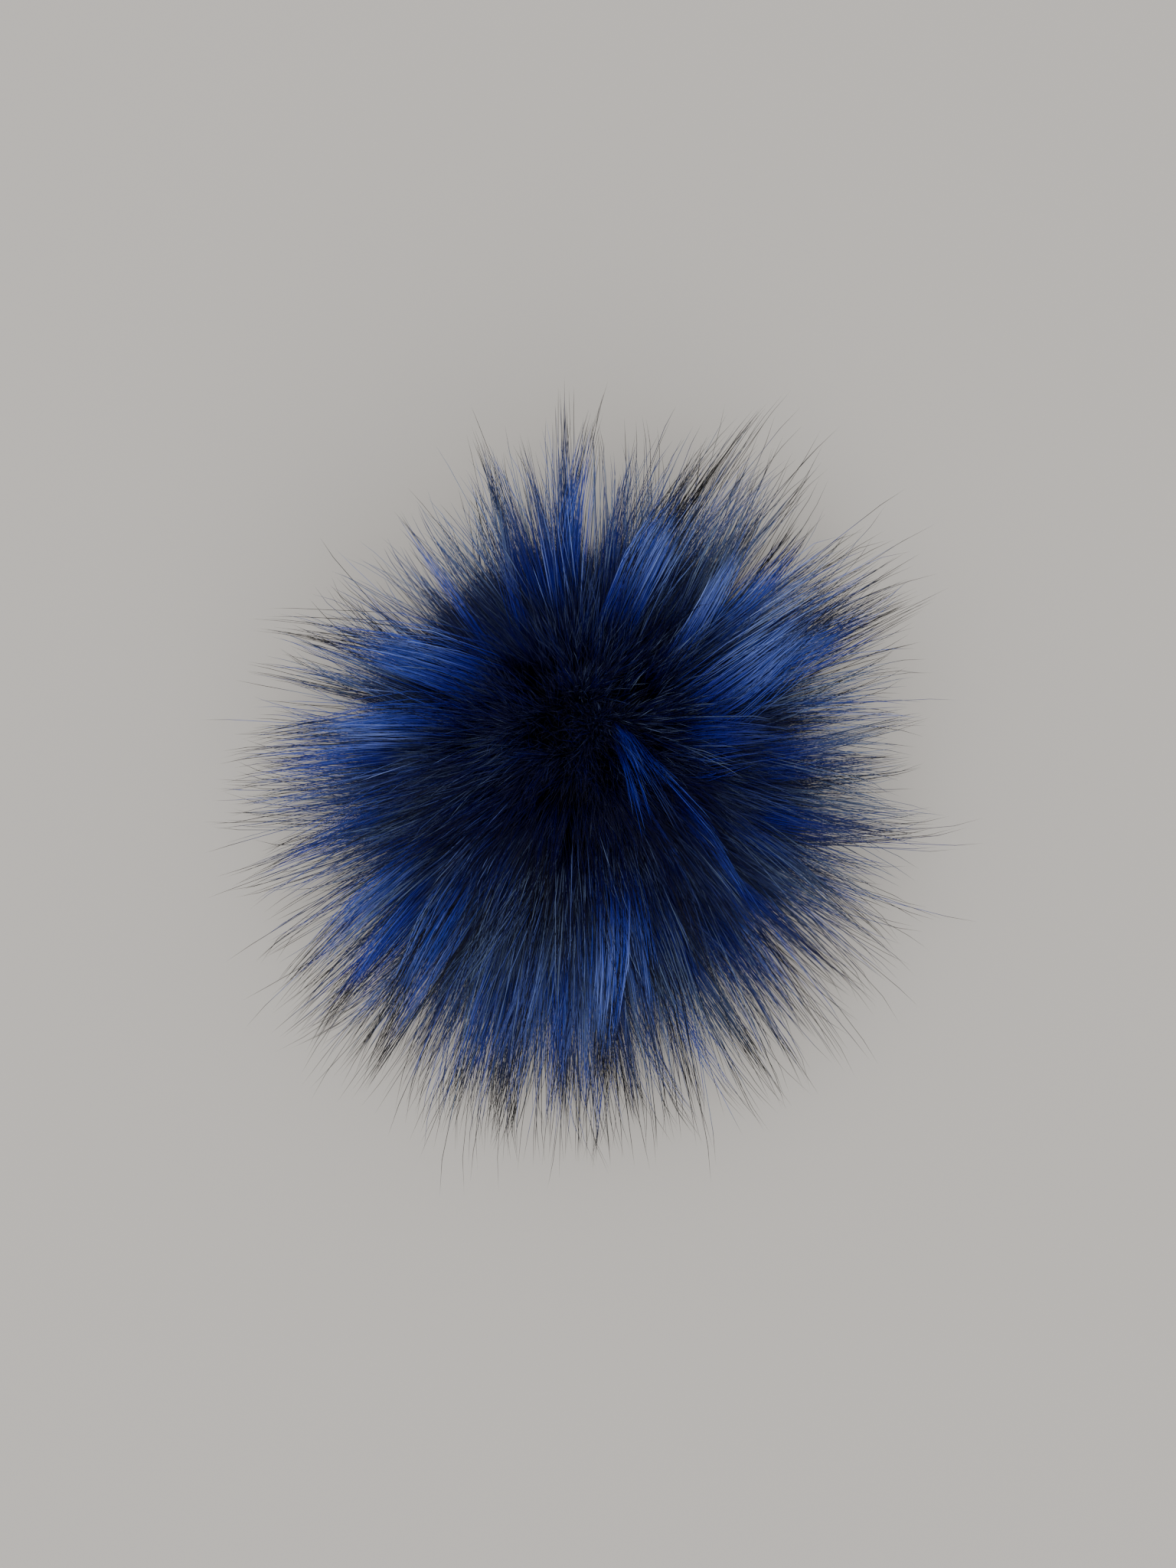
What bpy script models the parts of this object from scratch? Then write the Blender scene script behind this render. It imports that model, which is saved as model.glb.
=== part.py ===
"""A faux-fur pom pom: a ball of long-pile fur fabric that rests on its gathered underside.

The ball of backing carries its pile as four-sided pointed locks, one to a cell of a grid that wraps the
ball like the six sides of a rounded cube. Each lock follows the lay of the pile: it leaves the ball square
to it and leans out from the parting on top, and the lowest locks run level on the surface below.
Metres, +Z up, with the origin in the middle of the flat spot under the ball.
"""

import math
import random
from dataclasses import dataclass, field

import bmesh
import bpy
from mathutils import Matrix, Vector
from mathutils.bvhtree import BVHTree

NAME = "fur_pom_pom"

# The drawn-up ball of backing.
BALL_RADIUS = 0.028
BALL_HALF_HEIGHT = 0.024
BALL_CENTRE_Z = 0.023

# The layout of the locks.
CELLS = 7  # along each edge of the rounded cube's sides
FLAT_CELLS = 3  # across the flat spot under the ball
BARE_CELLS = 5  # across the gathered underside, which has no locks
UNDERSIDE = 4  # the number of the rounded cube's side that faces down
LAYOUT_TURN = math.radians(17)
CORNER_WANDER = 0.045  # how far the cells' corners stray, as a share of the ball's radius

# The lay of the pile, out to its full length.
PILE_REACH = 0.081  # from the middle to the tips of full-length pile at the ball's waist
CROWN_TIP_Z = 0.086
WAIST_TIP_Z = 0.014
FLOOR_REACH = 0.058
BARE_EDGE = math.pi / 4 * BARE_CELLS / CELLS  # from the bottom up to the roots of the lowest locks
FLOOR_ANGLE = math.pi - BARE_EDGE
SPLAY = 1.9  # above 1, the upper pile leans out from the parting
PARTING = Vector((0.03, 0.30, 0.0))  # where the parting lies, as a share of the ball's radius
LAY_WANDER = 0.065
SPRING = 0.45  # how far a lock keeps to its first direction, as a share of its length

# Each ring of a lock: its place along the lock, and the share of its cell that it fills.
ROOT_FILL = 0.90
ROOT_INSET = 0.0001
WIDEST_FILL = 0.94
THICKEST = 0.0060  # from the middle of a lock to its edge
LOCK_RINGS = (
    # along, fill
    (0.28, 0.90),
    (0.56, 0.76),
    (0.80, 0.44),
)

# How much of the pile's full length the locks reach, by where they are rooted: degrees from the top.
LENGTH_BANDS = (
    # degrees, shortest, longest
    (0, 0.48, 0.62),
    (30, 0.62, 0.84),
    (60, 0.58, 0.82),
    (90, 0.50, 0.76),
    (148, 0.60, 0.90),
)
SWAY = 0.018  # how far full-length pile strays sideways
LIFT = 0.007  # how far it strays up or down
SHAPE_SEED = 11

# Locks that would pass through each other are eased until they lie side by side.
SHARED_STRAY = 0.30  # how much of the way towards the same stray the two go in a round
EASED_STRAY = 0.97
EASED_WIDTH = 0.985

# The locks that stand out from the rest: which way they point, in degrees from +X towards +Y, how far from
# the middle they reach, how high their tips are, and how wide they are beside the others.
LONG_BAND = (math.radians(30), math.radians(105))  # where they are rooted, from the top
LONG_LOCKS = (
    # azimuth, reach, tip_z, width
    (8, 0.071, 0.025, 0.9),
    (25, 0.081, 0.030, 1.0),
    (36, 0.073, 0.038, 1.2),
    (51, 0.079, 0.024, 0.8),
    (58, 0.070, 0.042, 1.0),
    (63, 0.080, 0.038, 1.1),
    (73, 0.071, 0.028, 0.7),
    (86, 0.073, 0.035, 0.9),
    (93, 0.075, 0.026, 0.7),
    (104, 0.070, 0.034, 0.9),
    (126, 0.062, 0.040, 0.6),
    (143, 0.060, 0.030, 0.8),
    (157, 0.072, 0.038, 1.2),
    (165, 0.076, 0.022, 0.7),
    (177, 0.072, 0.030, 0.9),
    (186, 0.079, 0.020, 0.7),
    (198, 0.070, 0.026, 0.9),
    (220, 0.077, 0.026, 0.9),
    (228, 0.081, 0.022, 0.9),
    (237, 0.076, 0.032, 1.1),
    (252, 0.081, 0.016, 0.8),
    (257, 0.079, 0.020, 0.8),
    (264, 0.069, 0.030, 0.8),
    (271, 0.077, 0.040, 1.3),
    (283, 0.066, 0.036, 0.9),
    (301, 0.080, 0.020, 0.8),
    (311, 0.071, 0.022, 0.8),
    (322, 0.074, 0.022, 0.9),
    (335, 0.062, 0.034, 1.0),
    (351, 0.068, 0.022, 0.6),
)

# The marks that each vertex of a lock carries while the locks are grown.
LOCK_LAYER = "lock"
CORNER_LAYER = "corner"
NO_LOCK = -1

FUR_COLOUR = (0.018, 0.048, 0.25, 1.0)
FUR_ROUGHNESS = 0.7


def ball_point(direction):
    """Where a direction from the ball's centre meets the backing."""
    return Vector((
        BALL_RADIUS * direction.x,
        BALL_RADIUS * direction.y,
        BALL_CENTRE_Z + BALL_HALF_HEIGHT * direction.z,
    ))


def from_top(direction):
    """The angle from straight up to a direction."""
    return math.acos(max(-1.0, min(1.0, direction.z)))


def wander(direction, frequency):
    """A smooth, uneven vector that changes with the direction, each part of it from -1 to 1."""
    x, y, z = direction * frequency
    return Vector((
        math.sin(1.00 * y + 0.83 * z + 0.7) * math.cos(0.91 * x - 0.62 * y + 2.1),
        math.sin(1.07 * z + 0.79 * x + 4.2) * math.cos(0.94 * y - 0.71 * z + 1.3),
        math.sin(0.97 * x + 0.88 * y + 2.9) * math.cos(1.03 * z - 0.66 * x + 5.1),
    ))


def combed(direction):
    """The direction in which the pile rooted at a direction comes to lie, away from the parting."""
    above = max(direction.z, 0.0)
    moved = direction - PARTING * above ** 2 + LAY_WANDER * wander(direction, 6.5)
    return moved.normalized()


def full_tip(direction):
    """The tip of full-length pile that is rooted at a direction."""
    lay = combed(direction)
    angle = min(from_top(lay), FLOOR_ANGLE)
    waist = math.pi / 2
    if angle <= waist:
        splayed = waist * (1.0 - (1.0 - angle / waist) ** SPLAY)
        reach = PILE_REACH * math.sin(splayed)
        height = WAIST_TIP_Z + (CROWN_TIP_Z - WAIST_TIP_Z) * math.cos(splayed)
    else:
        lowered = (angle - waist) / (FLOOR_ANGLE - waist)
        reach = PILE_REACH - (PILE_REACH - FLOOR_REACH) * lowered ** 1.5
        height = WAIST_TIP_Z * (1.0 - lowered)
    around = math.atan2(lay.y, lay.x)
    return Vector((reach * math.cos(around), reach * math.sin(around), height))


def pile_point(direction, along):
    """A place on the pile's lay: on the ball at along 0, and at the full length at along 1."""
    root = ball_point(direction)
    tip = full_tip(direction)
    chord = tip - root
    angle = from_top(direction)
    waist = math.pi / 2
    if angle <= waist:
        upright = math.cos(angle) ** 0.7
        heading = direction * upright + chord.normalized() * (1.0 - upright)
        middle = root + heading.normalized() * chord.length * SPRING
    else:
        lowered = min((angle - waist) / (FLOOR_ANGLE - waist), 1.0)
        middle = root + chord * SPRING
        middle.z = tip.z + (1.0 - SPRING) * (1.0 - 0.8 * lowered) * (root.z - tip.z)
    rest = 1.0 - along
    return root * rest ** 2 + middle * (2.0 * along * rest) + tip * along ** 2


@dataclass
class Lock:
    """One lock of pile: the cell that it fills, its length and width, and how far its tip strays."""

    axis: Vector
    corners: list
    on_floor: bool
    length: float = 0.0
    width: float = 1.0
    stray: Vector = field(default_factory=Vector)

    def strayed(self, direction, share):
        """Where pile rooted at a direction is at a share of the lock's length, with the lock's own stray."""
        along = share * self.length
        return pile_point(direction, along) + self.stray * along ** 2

    def middle_place(self, share):
        """The middle of the lock at a share of its length."""
        return self.strayed(self.axis, share)

    def corner_place(self, corner, share, fill):
        """Where the edge over a corner of its cell is, beside the lock's middle at a share of its length."""
        filled = min(fill * self.width, WIDEST_FILL)
        direction = self.axis.lerp(corner, filled).normalized()
        middle = self.middle_place(share)
        onward = (self.middle_place(share + 0.02) - middle).normalized()
        offset = self.strayed(direction, share) - middle
        offset -= onward * offset.dot(onward)
        offset *= min(1.0, THICKEST * self.width / offset.length)
        place = middle + offset
        if self.on_floor and corner.z < self.axis.z:
            place.z = 0.0
        return place

    def tip_place(self):
        """Where the lock's four sides meet."""
        place = self.middle_place(1.0)
        if self.on_floor:
            place.z = 0.0
        return place


def cell_step(place):
    """Which cell along its side a coordinate from -1 to 1 is in."""
    return int((place + 1.0) / 2.0 * CELLS)


def cell_of(centre):
    """The number of the cell whose middle is at a place on the cube, and its side, column and row."""
    axis = max(range(3), key=lambda i: abs(centre[i]))
    side = 2 * axis + (centre[axis] > 0.0)
    column, row = (cell_step(centre[i]) for i in range(3) if i != axis)
    return (side * CELLS + column) * CELLS + row, side, column, row


def in_middle(column, row, across):
    """True if a cell is in the block of that many cells across, in the middle of its side."""
    return max(abs(column - CELLS // 2), abs(row - CELLS // 2)) <= across // 2


def rounded_direction(place):
    """The direction from the ball's centre for a place on the cube, with the bare underside made round."""
    direction = Vector(math.tan(part * math.pi / 4) for part in place).normalized()
    below = math.pi - from_top(direction)
    if 0.0 < below < math.pi / 2:
        around = math.atan2(direction.y, direction.x)
        square = max(abs(math.cos(around)), abs(math.sin(around)))
        edge = math.atan(math.tan(BARE_EDGE) / square)
        above_edge = max(0.0, (below - edge) / (math.pi / 2 - edge))
        rounded = below * (above_edge + (1.0 - above_edge) * BARE_EDGE / edge)
        direction = Vector((
            math.sin(rounded) * math.cos(around),
            math.sin(rounded) * math.sin(around),
            -math.cos(rounded),
        ))
    direction.rotate(Matrix.Rotation(LAYOUT_TURN, 3, "Z"))
    straying = CORNER_WANDER * (1.0 + direction.z) * wander(direction, 14.0)
    return (direction + straying).normalized()


def band_length(direction, roll):
    """The length of a lock rooted at a direction, between the shortest and the longest there."""
    degrees = math.degrees(from_top(direction))
    for (low, short_low, long_low), (high, short_high, long_high) in zip(LENGTH_BANDS, LENGTH_BANDS[1:]):
        if degrees <= high:
            break
    part = min((degrees - low) / (high - low), 1.0)
    shortest = short_low + (short_high - short_low) * part
    longest = long_low + (long_high - long_low) * part
    return shortest + (longest - shortest) * roll


def shape_locks(locks):
    """Gives each lock its length and its stray, from its cell's own rolls of the dice."""
    rng = random.Random(SHAPE_SEED)
    rolls = [[rng.random() for _ in range(3)] for _ in range(6 * CELLS * CELLS)]
    for number, lock in locks.items():
        length_roll, sway_roll, lift_roll = rolls[number]
        lock.length = band_length(lock.axis, length_roll)
        lock.stray = Vector((-lock.axis.y, lock.axis.x, 0.0)) * SWAY * (2.0 * sway_roll - 1.0)
        if not lock.on_floor:
            lock.stray.z = LIFT * (2.0 * lift_roll - 1.0)


def draw_out_long_locks(locks):
    """Draws the lock that lies nearest to each row of the table out to that row's tip."""
    low, high = LONG_BAND
    free = [lock for lock in locks.values() if low < from_top(lock.axis) < high]
    for azimuth, reach, tip_z, width in LONG_LOCKS:
        around = math.radians(azimuth)
        target = Vector((reach * math.cos(around), reach * math.sin(around), tip_z))

        def share_of_full(lock):
            root, full = ball_point(lock.axis).xy.length, full_tip(lock.axis).xy.length
            return (reach - root) / (full - root)

        nearest = min(free, key=lambda lock: (pile_point(lock.axis, share_of_full(lock)) - target).length)
        free.remove(nearest)
        nearest.length = share_of_full(nearest)
        nearest.width = width
        nearest.stray = (target - pile_point(nearest.axis, nearest.length)) / nearest.length ** 2


def gathered_ball():
    """The ball of backing in cells, and by the cells' numbers, the faces that carry pile and their locks."""
    bm = bmesh.new()
    lock_layer = bm.verts.layers.int.new(LOCK_LAYER)
    bm.verts.layers.int.new(CORNER_LAYER)
    bmesh.ops.create_cube(bm, size=2.0)
    bmesh.ops.subdivide_edges(bm, edges=bm.edges[:], cuts=CELLS - 1, use_grid_fill=True)
    places = [cell_of(face.calc_center_median()) for face in bm.faces]
    for vert in bm.verts:
        vert[lock_layer] = NO_LOCK
        vert.co = rounded_direction(vert.co)

    faces, locks, flat_verts = {}, {}, set()
    for face, (number, side, column, row) in zip(bm.faces, places):
        underneath = side == UNDERSIDE
        if underneath and in_middle(column, row, FLAT_CELLS):
            flat_verts.update(face.verts)
        if underneath and in_middle(column, row, BARE_CELLS):
            continue
        corners = [vert.co.copy() for vert in face.verts]
        faces[number] = face.index
        locks[number] = Lock(sum(corners, Vector()).normalized(), corners, on_floor=underneath)
    for vert in bm.verts:
        vert.co = ball_point(vert.co)
    for vert in flat_verts:
        vert.co.z = 0.0
    return bm, faces, locks


def grown(ball, faces, locks):
    """A copy of the ball with each lock grown out of its face, and its vertices marked with its number."""
    bm = ball.copy()
    bm.faces.ensure_lookup_table()
    lock_layer = bm.verts.layers.int[LOCK_LAYER]
    corner_layer = bm.verts.layers.int[CORNER_LAYER]
    ends = [bm.faces[index] for index in faces.values()]
    bmesh.ops.inset_individual(bm, faces=ends, thickness=ROOT_INSET)
    for number, end in zip(faces, ends):
        lock = locks[number]
        for index, vert in enumerate(end.verts):
            vert[lock_layer], vert[corner_layer] = number, index
            vert.co = ball_point(lock.axis.lerp(lock.corners[index], ROOT_FILL).normalized())
    for share, fill in LOCK_RINGS:
        ends = bmesh.ops.extrude_discrete_faces(bm, faces=ends)["faces"]
        for vert in {vert for end in ends for vert in end.verts}:
            lock = locks[vert[lock_layer]]
            vert.co = lock.corner_place(lock.corners[vert[corner_layer]], share, fill)
    for end in ends:
        number = end.verts[0][lock_layer]
        tip = bmesh.ops.poke(bm, faces=[end])["verts"][0]
        tip[lock_layer] = number
        tip.co = locks[number].tip_place()
    bmesh.ops.triangulate(bm, faces=bm.faces[:])
    return bm


def crossing_locks(bm):
    """The pairs of locks that pass through each other, or through the bare ball, which is NO_LOCK."""
    lock_layer = bm.verts.layers.int[LOCK_LAYER]
    bm.faces.ensure_lookup_table()
    tree = BVHTree.FromBMesh(bm)
    pairs = set()
    for first, second in tree.overlap(tree):
        one, other = bm.faces[first], bm.faces[second]
        if first < second and not set(one.verts) & set(other.verts):
            pairs.add(tuple(max(vert[lock_layer] for vert in face.verts) for face in (one, other)))
    return sorted(pairs)


def ease_apart(locks, pairs):
    """Brings the strays of each crossing pair closer to each other, and makes the two locks narrower."""
    for pair in pairs:
        eased = [locks[number] for number in pair if number != NO_LOCK]
        shared = sum((lock.stray for lock in eased), Vector()) / len(eased)
        for lock in eased:
            lock.stray = lock.stray.lerp(shared, SHARED_STRAY) * EASED_STRAY
            lock.width *= EASED_WIDTH
            if lock.on_floor:
                lock.stray.z = 0.0


def make_fur():
    """The ball of backing with a lock grown from each of its cells, as one closed mesh."""
    ball, faces, locks = gathered_ball()
    shape_locks(locks)
    draw_out_long_locks(locks)
    bm = grown(ball, faces, locks)
    while crossing := crossing_locks(bm):
        ease_apart(locks, crossing)
        bm.free()
        bm = grown(ball, faces, locks)

    mesh = bpy.data.meshes.new(NAME)
    bm.to_mesh(mesh)
    ball.free()
    bm.free()
    return mesh


def fur_material():
    """Long modacrylic pile, royal blue over navy."""
    material = bpy.data.materials.new("royal_blue_faux_fur")
    material.use_nodes = True
    shader = material.node_tree.nodes["Principled BSDF"]
    shader.inputs["Base Color"].default_value = FUR_COLOUR
    shader.inputs["Roughness"].default_value = FUR_ROUGHNESS
    shader.inputs["Metallic"].default_value = 0.0
    return material


def main():
    """Builds the pom pom in a collection of its own."""
    for old in list(bpy.data.objects):
        bpy.data.objects.remove(old, do_unlink=True)
    collection = bpy.data.collections.new("faux_fur_pom_pom")
    bpy.context.scene.collection.children.link(collection)
    fur = bpy.data.objects.new(NAME, make_fur())
    fur.data.materials.append(fur_material())
    collection.objects.link(fur)


main()
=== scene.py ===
"""A faux-fur pom pom, dressed hair by hair: royal blue guard hairs with black tips over a navy underfur.

Every hair grows from the gathered ball of backing and follows the same lay of the pile as the locks of the
frame's solid, so that the hairs gather into the same pointed locks, with finer tufts inside each lock.
Metres, +Z up, with the origin in the middle of the flat spot under the ball. Hair lengths are shares of
full-length pile, unless a comment says otherwise, and azimuths are degrees from +X towards +Y.
"""

import logging
import math
import random
from abc import ABC, abstractmethod
from dataclasses import dataclass, field
from enum import Enum

import bmesh
import bpy
import numpy as np
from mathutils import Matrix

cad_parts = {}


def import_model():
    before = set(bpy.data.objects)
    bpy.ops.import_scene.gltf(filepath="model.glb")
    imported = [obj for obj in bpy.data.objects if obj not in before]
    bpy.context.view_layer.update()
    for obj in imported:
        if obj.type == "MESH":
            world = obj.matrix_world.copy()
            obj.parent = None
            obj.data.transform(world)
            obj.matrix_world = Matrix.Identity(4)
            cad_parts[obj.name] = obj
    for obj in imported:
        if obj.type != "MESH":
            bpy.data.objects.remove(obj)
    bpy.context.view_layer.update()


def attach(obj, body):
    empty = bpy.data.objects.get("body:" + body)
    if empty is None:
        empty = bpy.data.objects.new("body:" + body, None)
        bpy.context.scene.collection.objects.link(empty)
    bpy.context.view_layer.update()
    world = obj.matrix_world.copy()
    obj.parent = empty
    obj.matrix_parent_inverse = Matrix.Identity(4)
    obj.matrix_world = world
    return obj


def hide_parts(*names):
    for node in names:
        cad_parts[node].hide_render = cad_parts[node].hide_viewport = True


LOG = logging.getLogger("pom_pom")

Array = np.ndarray
Pair = tuple[float, float]
Triple = tuple[float, float, float]
Row = tuple[float, ...]
Socket = bpy.types.NodeSocket
Tree = bpy.types.NodeTree

BODY = "root"
FUR_NODE = "fur_pom_pom"
MM = 0.001
HAIR_MAP = "hair"
BAKE_MAP = "OFBake"
FURTHEST = 1.25  # how far along full-length pile the end of the hairs' map is
LONGEST = 0.98  # the longest a hair of a coat is, beside full-length pile
ROW_SHARE = 0.3  # how far to each side of the middle of its row of shades a hair's map reaches
MANY = 1 << 20  # so many more than a tuft has strands that the remainder falls evenly on them
WAVE_TURN = 6.28  # a Wave texture of this scale repeats once in a unit
FRIZZ_HEIGHT = 0.6  # how far hairs and tufts stray up and down, beside how far they stray sideways


# ---- Small helpers ----


def unit(vectors: Array) -> Array:
    """Vectors, one to a row, brought to a length of 1."""
    return vectors / np.linalg.norm(vectors, axis=-1, keepdims=True)


def from_top(directions: Array) -> Array:
    """The angles from straight up to the directions."""
    return np.arccos(np.clip(directions[:, 2], -1.0, 1.0))


def around(directions: Array) -> Array:
    """The azimuths of the directions, in radians."""
    return np.arctan2(directions[:, 1], directions[:, 0])


def place_at(azimuth: Array | float, reach: Array | float, height: Array | float) -> Array:
    """Places from their azimuths in radians, distances from the upright axis and heights."""
    return np.stack([reach * np.cos(azimuth), reach * np.sin(azimuth), height], axis=-1)


def on_curve(start: Array, middle: Array, end: Array, gone: Array) -> Array:
    """Places on curves that leave start towards middle and come to end from it, from 0 to 1 along them."""
    rest = 1.0 - gone
    return start * rest ** 2 + middle * (2.0 * gone * rest) + end * gone ** 2


def strays(rng: np.random.Generator, shape: tuple[int, ...], most: float) -> Array:
    """Random vectors round the origin, none of them more than most to any side."""
    return np.clip(rng.normal(size=shape), -most, most)


def linear(hex_colour: str) -> tuple[float, float, float, float]:
    """An sRGB hex colour as linear red, green and blue, with an alpha of 1."""
    parts = [int(hex_colour.lstrip("#")[i:i + 2], 16) / 255.0 for i in (0, 2, 4)]
    return (*(p / 12.92 if p <= 0.04045 else ((p + 0.055) / 1.055) ** 2.4 for p in parts), 1.0)


def add_node(tree: Tree, kind: str, settings: dict | None = None,
             inputs: dict | None = None) -> bpy.types.Node:
    """Adds a node with its settings and its inputs.

    Args:
        tree: The node tree of a material or a world.
        kind: The node's type name.
        settings: Values for the node's own properties.
        inputs: For each input, by name or number, a value, or the output socket that is linked to it.

    Returns:
        The new node.
    """
    node = tree.nodes.new(kind)
    for name, value in (settings or {}).items():
        setattr(node, name, value)
    for name, value in (inputs or {}).items():
        if isinstance(value, Socket):
            tree.links.new(value, node.inputs[name])
        else:
            node.inputs[name].default_value = value
    return node


def new_material(name: str) -> tuple[bpy.types.Material, Tree, bpy.types.Node]:
    """An empty material with its Principled shader.

    Args:
        name: What the finish is.

    Returns:
        The material, its node tree and its Principled shader.
    """
    material = bpy.data.materials.new(name)
    material.use_nodes = True
    tree = material.node_tree
    return material, tree, tree.nodes["Principled BSDF"]


def finished(bm: bmesh.types.BMesh, name: str) -> bpy.types.Mesh:
    """Turns a bmesh into a mesh and frees it.

    Args:
        bm: The bmesh.
        name: The mesh's name.

    Returns:
        The mesh.
    """
    mesh = bpy.data.meshes.new(name)
    bm.to_mesh(mesh)
    bm.free()
    return mesh


def add_object(name: str, contents: bpy.types.ID) -> bpy.types.Object:
    """Adds a new object to the scene.

    Args:
        name: The object's name.
        contents: The mesh, light or camera in it.

    Returns:
        The object.
    """
    added = bpy.data.objects.new(name, contents)
    bpy.context.scene.collection.objects.link(added)
    return added


def add_piece(name: str, mesh: bpy.types.Mesh, material: bpy.types.Material, slot: str) -> bpy.types.Object:
    """Puts a finished mesh in the scene as a piece of the pom pom.

    Args:
        name: The piece's name.
        mesh: Its mesh, already in place.
        material: Its finish.
        slot: The record's material slot that the finish belongs to. It is not used.

    Returns:
        The new object.
    """
    mesh.materials.append(material)
    piece = add_object(name, mesh)
    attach(piece, BODY)
    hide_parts(FUR_NODE)
    mesh.calc_loop_triangles()
    LOG.info("%s: %d triangles", name, len(mesh.loop_triangles))
    return piece


# ---- The lay of the pile ----


@dataclass(frozen=True)
class PileLay:
    """The ball of backing, and the way in which pile of full length lies on it."""

    ball_radius: float = 0.028
    ball_half_height: float = 0.024
    ball_centre_z: float = 0.023
    pile_reach: float = 0.081
    crown_tip_z: float = 0.086
    waist_tip_z: float = 0.014
    floor_reach: float = 0.058
    bare_edge: float = math.pi / 4 * 5 / 7  # the five middle cells of the seven underneath are bare
    splay: float = 1.9
    parting: Triple = (0.03, 0.30, 0.0)
    lay_wander: float = 0.065
    lay_frequency: float = 6.5
    spring: float = 0.45  # how far along a hair its bend is
    upright_fade: float = 0.7  # how soon the roots stop standing straight out, from the top to the waist
    floor_sag: float = 0.8  # how far the lowest hairs sag before they reach the floor
    tuck: float = 1.5  # how late the pile draws in below the waist

    @property
    def floor_angle(self) -> float:
        """The angle from the top down to the roots of the lowest hairs."""
        return math.pi - self.bare_edge

    def ball_points(self, directions: Array) -> Array:
        """Where directions from the ball's centre meet the backing."""
        scale = np.array([self.ball_radius, self.ball_radius, self.ball_half_height])
        return directions * scale + np.array([0.0, 0.0, self.ball_centre_z])

    @staticmethod
    def wander(directions: Array, frequency: float) -> Array:
        """A smooth, uneven vector for each direction, each part of it from -1 to 1.

        Args:
            directions: The directions.
            frequency: How fast the vectors change from one direction to the next.

        Returns:
            The vectors, one to a row.
        """
        x, y, z = (directions * frequency).T
        return np.stack([
            np.sin(1.00 * y + 0.83 * z + 0.7) * np.cos(0.91 * x - 0.62 * y + 2.1),
            np.sin(1.07 * z + 0.79 * x + 4.2) * np.cos(0.94 * y - 0.71 * z + 1.3),
            np.sin(0.97 * x + 0.88 * y + 2.9) * np.cos(1.03 * z - 0.66 * x + 5.1),
        ], axis=1)

    def combed(self, directions: Array) -> Array:
        """The directions in which pile comes to lie, away from the parting."""
        moved = directions - np.array(self.parting) * np.maximum(directions[:, 2:3], 0.0) ** 2
        return unit(moved + self.lay_wander * self.wander(directions, self.lay_frequency))

    def full_tips(self, directions: Array) -> Array:
        """The tips of full-length pile.

        Args:
            directions: Where each hair is rooted, as directions from the ball's centre.

        Returns:
            The tips, one to a row.
        """
        lay = self.combed(directions)
        waist = math.pi / 2
        angle = np.minimum(from_top(lay), self.floor_angle)
        above = angle <= waist
        splayed = waist * (1.0 - (1.0 - np.minimum(angle / waist, 1.0)) ** self.splay)
        lowered = np.maximum(angle - waist, 0.0) / (self.floor_angle - waist)
        reach = np.where(
            above,
            self.pile_reach * np.sin(splayed),
            self.pile_reach - (self.pile_reach - self.floor_reach) * lowered ** self.tuck,
        )
        height = np.where(
            above,
            self.waist_tip_z + (self.crown_tip_z - self.waist_tip_z) * np.cos(splayed),
            self.waist_tip_z * (1.0 - lowered),
        )
        return place_at(around(lay), reach, height)

    def bend_above(self, directions: Array, root: Array, tip: Array) -> Array:
        """Where hairs bend that leave the upper half of the ball, straighter out the higher they are.

        Args:
            directions: Where each hair is rooted, as directions from the ball's centre.
            root: The places of the roots.
            tip: The tips that the hairs would reach at full length.

        Returns:
            The middles of their curves, one to a row.
        """
        chord = tip - root
        length = np.linalg.norm(chord, axis=1, keepdims=True)
        upright = np.cos(np.minimum(from_top(directions), math.pi / 2))[:, None] ** self.upright_fade
        heading = unit(directions * upright + chord / length * (1.0 - upright))
        return root + heading * length * self.spring

    def places(self, directions: Array, along: Array) -> Array:
        """Places on the pile's lay.

        Args:
            directions: Where each hair is rooted, as directions from the ball's centre.
            along: How far along full-length pile each place is, from 0 on the ball to 1 at the tip.

        Returns:
            The places, one to a row.
        """
        root = self.ball_points(directions)
        tip = self.full_tips(directions)
        angle = from_top(directions)
        waist = math.pi / 2
        above = self.bend_above(directions, root, tip)
        lowered = np.clip((angle - waist) / (self.floor_angle - waist), 0.0, 1.0)
        below = root + (tip - root) * self.spring
        sagged = (1.0 - self.spring) * (1.0 - self.floor_sag * lowered)
        below[:, 2] = tip[:, 2] + sagged * (root[:, 2] - tip[:, 2])
        middle = np.where((angle <= waist)[:, None], above, below)
        return on_curve(root, middle, tip, along[:, None])


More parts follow.
